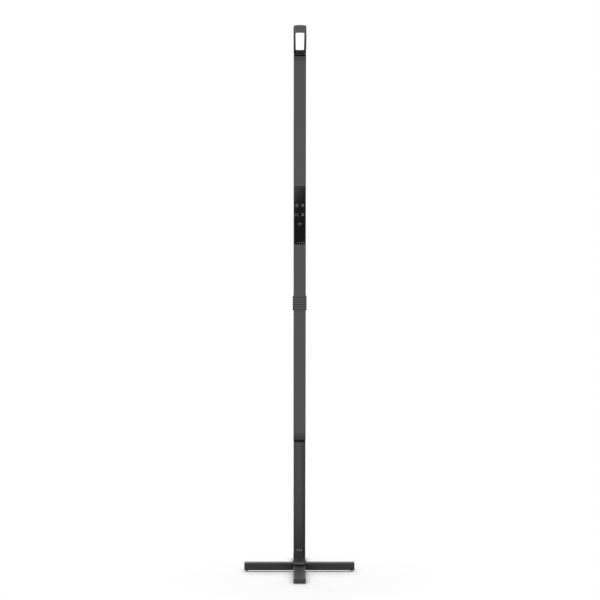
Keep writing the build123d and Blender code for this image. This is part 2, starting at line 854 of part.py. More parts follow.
with BuildPart() as carry_loop:
    with BuildSketch(loop_front):
        loop_arch(loop_width / 2, loop_length, loop_corner)
    extrude(amount=loop_depth / 2, both=True)
    with BuildSketch(loop_front):
        loop_arch(loop_width / 2 - loop_arm, loop_length - loop_top, loop_inner_corner)
    extrude(amount=loop_depth / 2, both=True, mode=Mode.SUBTRACT)
    with BuildSketch(loop_side):
        with BuildLine():
            Polyline(
                (-eye_radius, 0),
                (-loop_depth / 2, loop_taper_length),
                (-loop_depth / 2, loop_length),
                (loop_depth / 2, loop_length),
                (loop_depth / 2, loop_taper_length),
                (eye_radius, 0),
                close=True,
            )
        make_face()
        fillet(vertices().group_by(Axis.Y)[-1], loop_round)
        Circle(eye_radius)
    extrude(amount=loop_width / 2 + loop_flare, both=True, mode=Mode.INTERSECT)
    with BuildSketch(loop_side):
        Circle(pin_diameter / 2 + grip_clearance)
    extrude(amount=loop_width / 2, both=True, mode=Mode.SUBTRACT)
finish(carry_loop, "carry_loop")

with BuildPart() as loop_pin:
    with BuildSketch(Plane.YZ):
        with Locations((0, pin_level)):
            Circle(pin_diameter / 2)
    extrude(amount=loop_width / 2 - pin_setback, both=True)
finish(loop_pin, "loop_pin")
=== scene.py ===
# %% [markdown]
# # A cordless floor lamp, dressed in Blender
# The lamp is a slim light pole that turns on a round battery tube, on a low cross of two steel bars.
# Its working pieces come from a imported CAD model, which stands here as a fixed frame in metres.
# This lesson gives every piece its finish, and models again those whose soft edges catch the light.

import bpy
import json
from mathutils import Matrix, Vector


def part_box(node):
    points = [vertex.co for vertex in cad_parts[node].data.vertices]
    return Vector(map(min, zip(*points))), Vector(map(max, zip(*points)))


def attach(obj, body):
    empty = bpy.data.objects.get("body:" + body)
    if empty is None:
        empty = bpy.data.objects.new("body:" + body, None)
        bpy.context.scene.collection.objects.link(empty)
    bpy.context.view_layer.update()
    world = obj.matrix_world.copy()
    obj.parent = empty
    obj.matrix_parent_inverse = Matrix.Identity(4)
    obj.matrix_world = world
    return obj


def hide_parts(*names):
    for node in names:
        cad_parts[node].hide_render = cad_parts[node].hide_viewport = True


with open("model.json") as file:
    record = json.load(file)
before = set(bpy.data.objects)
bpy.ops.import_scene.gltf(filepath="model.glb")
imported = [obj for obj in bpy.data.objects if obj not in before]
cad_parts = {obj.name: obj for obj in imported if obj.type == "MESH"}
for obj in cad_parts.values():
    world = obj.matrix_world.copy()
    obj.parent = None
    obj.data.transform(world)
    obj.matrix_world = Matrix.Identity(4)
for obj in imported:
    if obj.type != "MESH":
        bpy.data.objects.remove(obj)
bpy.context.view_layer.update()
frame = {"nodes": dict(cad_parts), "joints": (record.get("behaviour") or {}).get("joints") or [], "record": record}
print("pieces in the frame:", len(frame["nodes"]))

# %% Tools
import json
from math import asin, cos, pi, radians, sin, sqrt

import bmesh
import bpy
from mathutils import Matrix, Vector

mm = 0.001
scene = bpy.context.scene
scene.view_settings.view_transform = "Standard"
print("view transform:", scene.view_settings.view_transform)

# %% [markdown]
# ## The camera
# A product picture is taken from far off with a long lens, so that a tall thing keeps its straight edges.
# The picture's scale sets the focal length, and the slight look down shows the tops of the foot bars.

# %% Camera
image_px = 600
focal_px = 2256
sensor_width_mm = 36
camera_place = Vector((-0.0288, -5.493, 1.3318))
camera_dip = radians(6.788)
camera_turn = radians(-0.3)
camera_roll = 0.001
lamp_aside_px = 0.12

camera_data = bpy.data.cameras.new("long_lens")
camera_data.sensor_width = sensor_width_mm
camera_data.lens = focal_px * sensor_width_mm / image_px
camera_data.shift_x = lamp_aside_px / image_px
camera = bpy.data.objects.new("long_lens", camera_data)
camera.location = camera_place
camera.rotation_euler = (pi / 2 - camera_dip, -camera_roll, camera_turn)
scene.collection.objects.link(camera)
scene.camera = camera
print("lens", round(camera_data.lens, 1), "mm")

# %% [markdown]
# ## Shader sums in Python
# A finish is a small program. Wires of a node tree are wrapped in a class that knows plus, minus and times,
# so that a mask reads as a sum instead of a heap of Math nodes. Any other node comes from one method.


# %% Wires and trees
class Wire:
    """An output that takes part in Python sums: 1 - mask adds a Math node."""

    def __init__(self, tree, socket):
        self.tree = tree
        self.socket = socket

    def math(self, operation, first, second):
        return self.tree.node("ShaderNodeMath", {"operation": operation}, {0: first, 1: second})

    def __add__(self, other):
        return self.math("ADD", self, other)

    def __sub__(self, other):
        return self.math("SUBTRACT", self, other)

    def __rsub__(self, other):
        return self.math("SUBTRACT", other, self)

    def __mul__(self, other):
        return self.math("MULTIPLY", self, other)

    __radd__ = __add__
    __rmul__ = __mul__


class Tree:
    """Adds nodes to a material or a world, and links them."""

    def __init__(self, owner):
        owner.use_nodes = True
        self.owner = owner
        self.nodes = owner.node_tree.nodes
        self.links = owner.node_tree.links
        self.nodes.clear()

    def node(self, kind, settings=(), sockets=(), output=0):
        made = self.nodes.new(kind)
        for name, value in dict(settings).items():
            setattr(made, name, value)
        for name, value in dict(sockets).items():
            if isinstance(value, Wire):
                self.links.new(value.socket, made.inputs[name])
            else:
                made.inputs[name].default_value = value
        return Wire(self, made.outputs[output]) if made.outputs else None

    def place(self, stretch=(1, 1, 1)):
        """Object coordinates in metres, stretched along an axis where the pattern runs."""
        here = self.node("ShaderNodeTexCoord", output="Object")
        return self.node("ShaderNodeMapping", (), {"Vector": here, "Scale": stretch})

    def part(self, vector, axis):
        """One of a vector's three numbers, named X, Y or Z."""
        return self.node("ShaderNodeSeparateXYZ", (), {0: vector}, output=axis)

    def noise(self, per_metre, stretch=(1, 1, 1), detail=2.0):
        sockets = {"Vector": self.place(stretch), "Scale": per_metre, "Detail": detail}
        return self.node("ShaderNodeTexNoise", (), sockets)

    def ramp(self, value, low, high):
        """0 below low, 1 above high, smooth between."""
        sockets = {"Value": value, "From Min": low, "From Max": high}
        return self.node("ShaderNodeMapRange", {"interpolation_type": "SMOOTHSTEP"}, sockets)

    def mix(self, mask, first, second):
        """Blend two colours by a mask."""
        return self.node("ShaderNodeMix", {"data_type": "RGBA"}, {0: mask, 6: first, 7: second}, output=2)

    def bump(self, height, depth):
        """Turn a height of 0 to 1 into a normal, with its depth in metres."""
        return self.node("ShaderNodeBump", (), {"Height": height, "Distance": depth, "Strength": 1.0})

    def surface(self, **sockets):
        """A Principled surface, with sockets named in lower case and joined by underscores."""
        named = {
            name.replace("_", " ").title().replace("Ior", "IOR"): value for name, value in sockets.items()
        }
        shader = self.node("ShaderNodeBsdfPrincipled", (), named)
        self.node("ShaderNodeOutputMaterial", (), {"Surface": shader})
        return self.owner


def finish_tree(name):
    return Tree(bpy.data.materials.new(name))


def grey(level):
    return (level, level, level, 1.0)


white = grey(1.0)
print("shader tools ready")

# %% [markdown]
# ## The studio
# The lamp stands in white surroundings under soft light. The world is white where the camera or a reflection
# looks at it. Where it lights the lamp it is bright overhead and in front, a little to the left, and dim all
# round otherwise, which gives the round tube its shape. In front, the studio's white ground throws light up.
# The floor is a small pale disc that keeps the lamp's soft shadow and fades into the white round it. Next to
# the lamp it throws no light back, so upright faces grow darker in the last hand's breadth above it. Soft lamps
# wash out the shade close to the bars, so the floor's finish paints it: a painted pale line of light under the
# cross bar, the painted dark core of that bar's shadow in front of it, and painted shade beside the other bar.

# %% World
zenith_level = 1.3
horizon_levels = (0.02, 0.7)
ground_levels = (0.03, 3.5)
front_turn = radians(13)
front_spread = (0.6, 1.0)
overhead_spread = (0.15, 0.9)
ground_edge = (-0.1, 0.05)


def seen_directly(tree):
    """1 for camera rays, reflections and rays through glass, 0 for light that falls on the lamp."""
    kinds = ("Is Camera Ray", "Is Glossy Ray", "Is Transmission Ray")
    looked, mirrored, through = (tree.node("ShaderNodeLightPath", output=kind) for kind in kinds)
    return tree.node("ShaderNodeClamp", (), {"Value": looked + mirrored + through})


world = bpy.data.worlds.new("white_studio")
studio = Tree(world)
way = studio.node("ShaderNodeTexCoord", output="Generated")
front_way = (-sin(front_turn), -cos(front_turn), 0)
sockets = {0: way, 1: front_way}
ahead = studio.node("ShaderNodeVectorMath", {"operation": "DOT_PRODUCT"}, sockets, output="Value")
upward = studio.part(way, "Z")
horizon, ground = (
    studio.mix(studio.ramp(ahead, *front_spread), grey(around), grey(in_front))
    for around, in_front in (horizon_levels, ground_levels)
)
above = studio.mix(studio.ramp(upward, *overhead_spread), horizon, grey(zenith_level))
light = studio.mix(studio.ramp(upward, *ground_edge), ground, above)
dome = studio.node("ShaderNodeBackground", (), {"Color": light})
backdrop = studio.node("ShaderNodeBackground", (), {"Color": white, "Strength": 1.0})
sky = studio.node("ShaderNodeMixShader", (), {0: seen_directly(studio), 1: dome, 2: backdrop})
studio.node("ShaderNodeOutputWorld", (), {"Surface": sky})
scene.world = world
print("zenith", zenith_level, "horizon", horizon_levels, "ground", ground_levels)

# %% Floor
floor_radius = 0.42
floor_segments = 96
floor_fade = (0.2, 0.4)
floor_white = 0.855
floor_glow = 0.12
floor_bounce = 0.06
# Painted light and shade on the floor: a pale line in the gap under the cross bar, the dark core of its shadow in
# front of it, and shade beside the other bar.
gap_edge = (2.8 * mm, 4.8 * mm)
painted_gap_light = 0.68
painted_shadow_edge = (7 * mm, 16 * mm)
painted_shadow_grey = 0.06
cross_bar_root = (13 * mm, 16 * mm)
cross_bar_tip = (126 * mm, 140 * mm)
long_bar_root = (12 * mm, 18 * mm)
long_bar_tip = (120 * mm, 142 * mm)
long_bar_side = (13 * mm, 32 * mm)
beside_shade = 0.22


def floor_finish():
    tree = finish_tree("pale_floor")
    here = tree.node("ShaderNodeTexCoord", output="Object")
    distance = tree.node("ShaderNodeVectorMath", {"operation": "LENGTH"}, {0: here}, output="Value")
    aside = tree.node("ShaderNodeVectorMath", {"operation": "ABSOLUTE"}, {0: here})
    across = tree.part(aside, "X")
    along = tree.part(aside, "Y")
    # Masks of the painted light under the cross bar, the painted shadow in front of it and the painted shade
    # beside the other bar.
    by_bar = tree.ramp(across, *cross_bar_root) * (1 - tree.ramp(across, *cross_bar_tip))
    outside_gap = tree.ramp(along, *gap_edge)
    gap = by_bar * (1 - outside_gap)
    painted_shadow = by_bar * outside_gap * (1 - tree.ramp(along, *painted_shadow_edge))
    by_long_bar = tree.ramp(along, *long_bar_root) * (1 - tree.ramp(along, *long_bar_tip))
    beside = by_long_bar * (1 - tree.ramp(across, *long_bar_side)) * beside_shade
    tint = tree.mix(painted_shadow + beside * (1 - painted_shadow), grey(floor_white), grey(painted_shadow_grey))
    pale = tree.node("ShaderNodeBsdfDiffuse", (), {"Color": tint})
    glow = tree.node("ShaderNodeEmission", (), {"Color": white, "Strength": 1.0})
    far = tree.ramp(distance, *floor_fade)
    fade = floor_glow * (1 - painted_shadow) + far * (1 - floor_glow) + gap * painted_gap_light
    faded = tree.node("ShaderNodeMixShader", (), {0: fade, 1: pale, 2: glow})
    dim = tree.node("ShaderNodeBsdfDiffuse", (), {"Color": grey(floor_bounce)})
    shown = tree.node("ShaderNodeMixShader", (), {0: seen_directly(tree), 1: dim, 2: faded})
    tree.node("ShaderNodeOutputMaterial", (), {"Surface": shown})
    return tree.owner


floor_shape = bmesh.new()
bmesh.ops.create_circle(floor_shape, cap_ends=True, segments=floor_segments, radius=floor_radius)
floor_mesh = bpy.data.meshes.new("floor")
floor_shape.to_mesh(floor_mesh)
floor_shape.free()
floor_mesh.materials.append(floor_finish())
floor = bpy.data.objects.new("floor", floor_mesh)
scene.collection.objects.link(floor)
print("floor radius", floor_radius, "m")

# %% [markdown]
# Two soft boxes do the rest. One is a long strip that hangs high in front, rolled over to the left. It fades
# towards the floor, and the mirror image of its lower end is the slanting pale patch at the top left of the
# touch glass. The other stands behind, lights the opal covers and sends the bars' shadow forward.

# %% Soft boxes


def soft_box(name, place, aim, width, height, watts, roll=0.0, mirrored=True):
    light = bpy.data.lights.new(name, "AREA")
    light.shape = "RECTANGLE"
    light.size = width
    light.size_y = height
    light.energy = watts
    lamp = bpy.data.objects.new(name, light)
    lamp.location = place
    towards = (Vector(aim) - Vector(place)).to_track_quat("-Z", "Y").to_matrix()
    lamp.rotation_euler = (towards @ Matrix.Rotation(roll, 3, "Z")).to_euler()
    lamp.visible_camera = False
    lamp.visible_glossy = mirrored
    scene.collection.objects.link(lamp)
    print(name, watts, "W")


key_width = 0.2
key_height = 1.12
key_distance = 1.5
key_roll = radians(48)
key_watts = 5
rear_place = (0, 2.2, 1.1)
rear_width = 2.0
rear_height = 0.9
rear_watts = 26
patch_drop = 9 * mm
patch_aside = -1 * mm

glass_low, glass_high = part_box("touch_glass")
patch_edge = Vector((patch_aside, glass_low.y, glass_high.z - patch_drop))
onward = (patch_edge - camera_place) * Vector((1, -1, 1))
key_end = patch_edge + onward * (-key_distance - patch_edge.y) / onward.y
key_middle = key_end + Vector((-sin(key_roll), 0, cos(key_roll))) * key_height / 2
key_aim = key_middle + Vector((0, 1, 0))
soft_box("front_box", key_middle, key_aim, key_width, key_height, key_watts, key_roll)
soft_box("rear_box", rear_place, (0, 0, 0), rear_width, rear_height, rear_watts, mirrored=False)

# %% [markdown]
# ## Finishes of the metal pieces
# Powder coat is melted on and sets with a faint orange peel, so the bars get two sizes of bump. The cross
# bar and the flange get darker copies of the coat, painted shade, and the flange's steps a lighter one, painted
# light. Near the flange the cross bar has more painted shade. The pole and the tube are drawn aluminium: fine
# lines run along them under a dark anodised layer, with painted shade towards the tube's foot and the pole's
# cut ends.

# %% Powder coat and anodised aluminium
tube_low, tube_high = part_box("battery_tube")
pole_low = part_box("lower_channel")[0].z
pole_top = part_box("upper_channel")[1].z
# Painted shade on the cross bar, darker towards the flange.
crossing_shade = (10 * mm, 70 * mm)
crossing_painted_shade_grey = 0.002
ends_painted_shade_grey = 0.020


def powder_coat(name, dark, light, gloss=0.36, painted_shade_share=0.0):
    """Melted-on paint, with painted shade that darkens it towards the lamp's middle by the given share."""
    tree = finish_tree(name)
    peel = tree.noise(900, detail=1.0)
    speck = tree.noise(5200, detail=0.0)
    patch = tree.noise(22)
    tint = tree.mix(tree.ramp(patch * 0.5 + speck * 0.5, 0.35, 0.65), grey(dark), grey(light))
    aside = tree.node("ShaderNodeVectorMath", {"operation": "ABSOLUTE"}, {0: tree.place()})
    across = tree.part(aside, "X")
    inward = 1 - tree.ramp(across, *crossing_shade)
    # Painted shade towards the lamp's middle, by the share given.
    return tree.surface(
        base_color=tree.mix(inward * painted_shade_share, tint, grey(crossing_painted_shade_grey)),
        roughness=0.32 + peel * 0.14,
        specular_ior_level=gloss,
        normal=tree.bump(peel * 0.8 + speck * 0.2, 0.06 * mm),
    )


def anodised(name, ends, reach, strength, level, gloss):
    """Drawn aluminium in a dark dye, with painted shade within reach of its two ends."""
    tree = finish_tree(name)
    lines = tree.noise(2600, (1, 1, 0.006), detail=3.0)
    cloud = tree.noise(9)
    tint = tree.mix(lines * 0.7 + cloud * 0.3, grey(level * 0.9), grey(level * 1.1))
    height = tree.part(tree.place(), "Z")
    (low_end, high_end), (low_reach, high_reach) = ends, reach
    near_low = 1 - tree.ramp(height, low_end - low_reach * 0.2, low_end + low_reach)
    near_high = tree.ramp(height, high_end - high_reach, high_end + high_reach * 0.2)
    # Painted shade within reach of the two ends: towards the tube's foot and the pole's cut ends.
    return tree.surface(
        base_color=tree.mix((near_low + near_high) * strength, tint, grey(ends_painted_shade_grey)),
        roughness=0.44 + lines * 0.16 - gloss * 0.3,
        specular_ior_level=gloss,
        normal=tree.bump(lines, 0.012 * mm),
    )


def grained(name, noise, dark, light, roughness, depth=0.0, **sockets):
    """A finish whose colour, roughness and bump all follow one noise."""
    tree = finish_tree(name)
    grain = tree.noise(*noise)
    smoothest, spread = roughness
    if depth:
        sockets["normal"] = tree.bump(grain, depth)
    tint = tree.mix(grain, dark, light)
    return tree.surface(base_color=tint, roughness=smoothest + grain * spread, **sockets)


def steel(name, dark, light):
    drawn_lines = (3000, (1, 1, 0.05), 3.0)
    return grained(name, drawn_lines, grey(dark), grey(light), (0.25, 0.2), 0.01 * mm, metallic=1.0)


print("metal finishes ready")

# %% [markdown]
# ## Finishes of the moulded pieces
# Moulded plastic carries the fine spark texture of its mould, and rubber a coarser, duller one. Both are a
# noise in the bump and a little of it in the colour. The sleeve's grooves get painted shade, so its ribs are
# paler. The opal covers are milky and soft.

# %% Plastic and rubber
sleeve_low, sleeve_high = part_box("lock_sleeve")
groove_count = 6
groove_pitch = 5.6 * mm
groove_width = 2.1 * mm
groove_drop = 2.8 * mm
groove_start = sleeve_high.z - groove_drop - (groove_count - 1) * groove_pitch


def moulded(name, dark, light, roughness, specular, grains=2600, depth=0.03 * mm):
    """Moulded surface with the grain of its mould, between two levels of grey."""
    tree = finish_tree(name)
    grain = tree.noise(grains, detail=2.0)
    cloud = tree.noise(30)
    tint = tree.mix(tree.ramp(grain * 0.6 + cloud * 0.4, 0.3, 0.7), grey(dark), grey(light))
    return tree.surface(
        base_color=tint,
        roughness=roughness + grain * 0.12,
        specular_ior_level=specular,
        normal=tree.bump(grain, depth),
    )


def grip_rubber():
    """Rubber with painted shade in its grooves, so that its ribs are paler."""
    tree = finish_tree("grip_rubber")
    grain = tree.noise(1800)
    height = tree.part(tree.place(), "Z")
    from_groove = (height - groove_start).math("PINGPONG", height - groove_start, groove_pitch / 2)
    unshaded = tree.ramp(from_groove, groove_width * 0.3, groove_width * 0.8)
    rib_tint = tree.mix(grain, grey(0.086), grey(0.100))
    return tree.surface(
        # Painted shade in the grooves, paler ribs.
        base_color=tree.mix(unshaded, grey(0.042), rib_tint),
        roughness=0.58 + grain * 0.12,
        specular_ior_level=0.06,
        normal=tree.bump(grain, 0.04 * mm),
    )


def opal_cover():
    tree = finish_tree("opal_cover")
    lines = tree.noise(1500, (1, 1, 0.01), detail=2.0)
    cloud = tree.noise(14)
    tint = tree.mix(lines * 0.5 + cloud * 0.5, (0.75, 0.75, 0.73, 1), (0.81, 0.81, 0.79, 1))
    return tree.surface(
        base_color=tint,
        roughness=0.34 + lines * 0.12,
        specular_ior_level=0.4,
        subsurface_weight=0.15,
        subsurface_radius=(0.004, 0.004, 0.004),
        normal=tree.bump(lines, 0.008 * mm),
    )


print("moulded finishes ready")

# %% [markdown]
# ## Finishes of the panel and the inner pieces
# The touch glass is printed black from behind, so its front is a smooth gloss with a few faint smears. The
# inner pieces hardly show, and still get what they are: green boards with copper tracks, light chips with a
# grainy yellow layer, shrink-wrapped cells and frosted light pipes.

# %% Panel finishes
charge_row_half = 14 * mm


def panel_black():
    smear = (60, (1, 1, 0.35), 4.0)
    dark, light = grey(0.0025), grey(0.0040)
    return grained("panel_glass", smear, dark, light, (0.075, 0.02), specular_ior_level=0.08)


def clear_pipe():
    frost = (3000, (1, 1, 1), 1.0)
    return grained("frosted_pipe", frost, grey(0.36), grey(0.48), (0.3, 0.3), 0.02 * mm)


def icon_print():
    screen = (4000, (1, 1, 1), 0.0)
    return grained("icon_print", screen, grey(0.20), grey(0.28), (0.4, 0.1), specular_ior_level=0.1)


def charge_print():
    """Charge marks that are dark on the left and brightest at the right end of the row."""
    tree = finish_tree("charge_print")
    across = tree.part(tree.place(), "X")
    screen = tree.noise(4000, detail=0.0)
    lit = tree.mix(screen, grey(0.42), grey(0.50))
    tint = tree.mix(tree.ramp(across, -charge_row_half, charge_row_half), grey(0.02), lit)
    return tree.surface(base_color=tint, roughness=0.4 + screen * 0.1, specular_ior_level=0.1)


print("panel finishes ready")


# %% Inner finishes
def circuit_board():
    tree = finish_tree("circuit_board")
    sockets = {"Vector": tree.place(), "Scale": 700.0, "Randomness": 0.35}
    cells = tree.node("ShaderNodeTexVoronoi", {"feature": "DISTANCE_TO_EDGE"}, sockets)
    track = tree.ramp(cells, 0.05, 0.12)
    tint = tree.mix(track, (0.10, 0.20, 0.08, 1), (0.02, 0.085, 0.04, 1))
    raised = tree.bump(1 - track, 0.03 * mm)
    return tree.surface(base_color=tint, roughness=0.35 + track * 0.15, normal=raised)


def led_chip():
    tree = finish_tree("light_chip")
    grain = tree.noise(3500, detail=2.0)
    tint = tree.mix(tree.ramp(grain, 0.35, 0.65), (0.72, 0.52, 0.10, 1), (0.86, 0.72, 0.28, 1))
    return tree.surface(base_color=tint, roughness=0.3 + grain * 0.2, normal=tree.bump(grain, 0.02 * mm))


def cell_wrap():
    wrinkle = (160, (1, 1, 0.2), 3.0)
    dark, light = (0.05, 0.13, 0.33, 1), (0.09, 0.20, 0.44, 1)
    return grained("shrink_wrap", wrinkle, dark, light, (0.22, 0.15), 0.05 * mm)


print("inner finishes ready")

# %% [markdown]
# Each CAD node now takes the finish of its slot in the record. The pole's two sections share one of their
# own, because the painted shade at their cut ends lies elsewhere than the tube's.

# %% Give out the finishes
finishes = {
    "bar_paint": powder_coat("powder_coat", 0.044, 0.052, gloss=0.52),
    "dark_aluminium": anodised(
        "anodised_tube", (tube_low.z, tube_high.z), (0.13, 0.002), strength=0.45, level=0.070, gloss=0.015
    ),
    "black_plastic": moulded("moulded_plastic", 0.068, 0.082, 0.46, 0.06),
    "seam_black": moulded("seam_plastic", 0.012, 0.018, 0.7, 0.02),
    "grip_rubber": grip_rubber(),
    "foot_rubber": moulded("foot_rubber", 0.018, 0.030, 0.68, 0.2, 1500, 0.05 * mm),
    "panel_black": panel_black(),
    "opal_cover": opal_cover(),
    "clear_pipe": clear_pipe(),
    "white_plastic": moulded("white_plastic", 0.74, 0.82, 0.4, 0.4, 1600, 0.02 * mm),
    "circuit_board": circuit_board(),
    "led_chip": led_chip(),
    "cell_wrap": cell_wrap(),
    "plain_steel": steel("plain_steel", 0.46, 0.62),
    "lead_sheath": moulded("lead_sheath", 0.020, 0.032, 0.5, 0.3, 2200),
}
node_finishes = {row["node"]: finishes[row["material_slot"]] for row in frame["record"]["subparts"]}
pole_finish = anodised(
    "anodised_pole", (pole_low, pole_top), (0.022, 0.022), strength=0.62, level=0.077, gloss=0.05
)
node_finishes.update(lower_channel=pole_finish, upper_channel=pole_finish)
for node, finish in node_finishes.items():
    for material_slot in frame["nodes"][node].material_slots:
        material_slot.material = finish
print("finishes:", len(finishes) + 1)

# %% [markdown]
# ## Tools for modelled pieces
# Most pieces here are a few points that are pulled, turned or stacked, and then get their edges rounded. The
# last helper cleans the mesh, shades it smooth up to its real edges and seats it on its body. Smooth shading
# would bulge a flat face beside a small round edge, so a Weighted Normal modifier keeps flat faces flat, as
# the mirror image in the touch glass needs.

# %% Modelling tools
merge_distance = 0.001 * mm


def rectangle(left, low, right, high):
    return [(left, low), (right, low), (right, high), (left, high)]


def pulled(shape, outline, along):
    """A solid: a face through a few points, pulled out along a vector."""
    face = shape.faces.new([shape.verts.new(point) for point in outline])
    copy = bmesh.ops.extrude_face_region(shape, geom=[face])["geom"]
    ends = [item for item in copy if isinstance(item, bmesh.types.BMVert)]
    bmesh.ops.translate(shape, verts=ends, vec=along)


def turned(shape, profile, centre=(0, 0, 0), axis=(0, 0, 1), steps=96):
    """A solid of revolution: an outline taken once round an axis."""
    points = [shape.verts.new(point) for point in profile]
    edges = [shape.edges.new(pair) for pair in zip(points, points[1:])]
    bmesh.ops.spin(
        shape, geom=points + edges, cent=centre, axis=axis, angle=2 * pi, steps=steps, use_merge=True
    )
    bmesh.ops.remove_doubles(shape, verts=shape.verts, dist=merge_distance)


def next_ring(shape, edges):
    """Pull a ring of edges out in place, and give the new ring's edges and corners."""
    copy = bmesh.ops.extrude_edge_only(shape, edges=edges)["geom"]
    corners = [item for item in copy if isinstance(item, bmesh.types.BMVert)]
    fresh = set(corners)
    ring = [item for item in copy if isinstance(item, bmesh.types.BMEdge) and fresh.issuperset(item.verts)]
    return ring, corners


def round_edges(shape, edges, radius, segments=4):
    bmesh.ops.bevel(
        shape, geom=edges, offset=radius, offset_type="OFFSET", segments=segments, profile=0.5,
        affect="EDGES", material=-1, clamp_overlap=True,
    )


def sharp_edges(shape, least=radians(30)):
    return [edge for edge in shape.edges if edge.is_manifold and edge.calc_face_angle() > least]


def top_of(edge):
    return max(corner.co.z for corner in edge.verts)


def runs_along(edge, axis):
    """Whether an edge leads from one place to another along an axis, 0 to 2."""
    return edge.verts[0].co[axis] != edge.verts[1].co[axis]


def close(shape, *rings):
    """Close rings of edges with a face each."""
    for ring in rings:
        bmesh.ops.contextual_create(shape, geom=ring)


def seat(shape, name, body, slot, nodes=(), finish=None, crease=radians(40)):
    """Clean a mesh, make it a piece, and let it ride on a body for the CAD nodes that it stands for."""
    bmesh.ops.remove_doubles(shape, verts=shape.verts, dist=merge_distance)
    bmesh.ops.recalc_face_normals(shape, faces=shape.faces)
    open_edges = sum(not edge.is_manifold for edge in shape.edges)
    mesh = bpy.data.meshes.new(name)
    shape.to_mesh(mesh)
    shape.free()
    mesh.materials.append(finish or finishes[slot])
    mesh.shade_smooth()
    mesh.set_sharp_from_angle(angle=crease)
    piece = bpy.data.objects.new(name, mesh)
    scene.collection.objects.link(piece)
    even = piece.modifiers.new("even_shading", "WEIGHTED_NORMAL")
    even.keep_sharp = True
    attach(piece, body)
    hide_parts(*nodes)
    print(name, len(mesh.polygons), "faces,", open_edges, "open edges")


print("modelling tools ready")

# %% [markdown]
# ## The foot bars
# Two steel bars cross at the bottom, each notched half through so that they lie in one another. A side view
# of the bar with its notch is the outline, pulled out to the bar's width, and the outer edges are rounded as
# a grinder leaves them before coating.

# %% Cross bar
bar_low, bar_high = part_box("cross_bar")
long_low, long_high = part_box("front_back_bar")
lap_level = 10.5 * mm
lap_room = 0.1 * mm
bar_round = 1.5 * mm
under_round = 0.4 * mm
bar_under = bar_low.z - 0.8 * mm

shape = bmesh.new()
notch = long_high.x + lap_room
side_view = [
    (bar_low.x, bar_under),
    (-notch, bar_under),
    (-notch, lap_level),
    (notch, lap_level),
    (notch, bar_under),
    (bar_high.x, bar_under),
    (bar_high.x, bar_high.z),
    (bar_low.x, bar_high.z),
]
pulled(shape, [(x, bar_low.y, z) for x, z in side_view], (0, bar_high.y - bar_low.y, 0))
in_notch = {corner for corner in shape.verts if abs(corner.co.x) < notch + lap_room}
outer = [edge for edge in shape.edges if not in_notch.intersection(edge.verts)]
outer = [edge for edge in outer if top_of(edge) > bar_under]
round_edges(shape, outer, bar_round)
under = [edge for edge in sharp_edges(shape) if top_of(edge) < bar_under + lap_room]
under = [edge for edge in under if min(abs(corner.co.x) for corner in edge.verts) > notch + lap_room]
round_edges(shape, under, under_round, 3)
# The cross bar gets a darker copy of the coat, painted shade, with more painted shade towards the flange.
bar_coat = powder_coat("bar_coat", 0.026, 0.031, gloss=0.38, painted_shade_share=0.72)
seat(shape, "foot_bar_across", "base", "bar_paint", ["cross_bar"], bar_coat)

# %% Fore-and-aft bar
long_flat = 22 * mm
long_tip = 13.2 * mm
long_round = 1.6 * mm

shape = bmesh.new()
notch = bar_high.y + lap_room
half_view = [
    (notch, lap_level),
    (notch, long_high.z),
    (long_flat, long_high.z),
    (long_high.y, long_tip),
    (long_high.y, long_low.z),
]
side_view = [(-y, z) for y, z in reversed(half_view)] + half_view
pulled(shape, [(long_low.x, y, z) for y, z in side_view], (long_high.x - long_low.x, 0, 0))
in_notch = {corner for corner in shape.verts if abs(corner.co.y) < notch + lap_room}
outer = [edge for edge in sharp_edges(shape) if not in_notch.issuperset(edge.verts)]
outer = [edge for edge in outer if top_of(edge) > long_low.z]
round_edges(shape, outer, long_round)
seat(shape, "foot_bar_along", "base", "bar_paint", ["front_back_bar"])

# %% [markdown]
# ## Feet and screws
# Small rubber feet keep the bars off the floor: two turned, round-edged buttons under the tips of the cross
# bar, and two flat pads under the other bar. The socket screws that hold the cross together sit in holes from
# below.

# %% Side feet
foot_low, foot_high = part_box("side_feet")
foot_radius = (foot_high.y - foot_low.y) / 2
foot_round = 1.4 * mm
foot_taper = 0.7
foot_middle = foot_high.x - foot_radius
button_radius = foot_radius * foot_taper

shape = bmesh.new()
for side in (-1, 1):
    round_part = [
        (button_radius - foot_round * (1 - sin(radians(angle))), foot_round * (1 - cos(radians(angle))))
        for angle in range(0, 91, 15)
    ]
    profile = [(0, 0)] + round_part + [(button_radius, bar_low.z), (0, bar_low.z)]
    middle = side * foot_middle
    turned(shape, [(middle + x, 0, z) for x, z in profile], (middle, 0, 0), steps=40)
seat(shape, "side_foot_buttons", "base", "foot_rubber", ["side_feet"])

# %% End feet
pad_low, pad_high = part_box("end_feet")
pad_depth = 8 * mm
pad_corner = 2.0 * mm
pad_edge = 0.4 * mm

shape = bmesh.new()
for side in (-1, 1):
    middle = side * (pad_high.y - pad_depth / 2)
    outline = rectangle(pad_low.x, middle - pad_depth / 2, pad_high.x, middle + pad_depth / 2)
    pulled(shape, [(x, y, pad_low.z) for x, y in outline], (0, 0, pad_high.z - pad_low.z))
upright = [edge for edge in shape.edges if runs_along(edge, 2)]
round_edges(shape, upright, pad_corner, 5)
under = [edge for edge in sharp_edges(shape) if top_of(edge) < pad_low.z + pad_edge]
round_edges(shape, under, pad_edge, 3)
seat(shape, "end_foot_pads", "base", "foot_rubber", ["end_feet"])

# %% Base screws
screw_low, screw_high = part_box("base_screws")
screw_spacing = 16 * mm
head_radius = 4.5 * mm
head_height = 3.0 * mm
shank_radius = 2.5 * mm
socket_radius = 2.3 * mm
socket_rim = socket_radius * 1.25
socket_depth = 1.8 * mm
head_round = 0.4 * mm

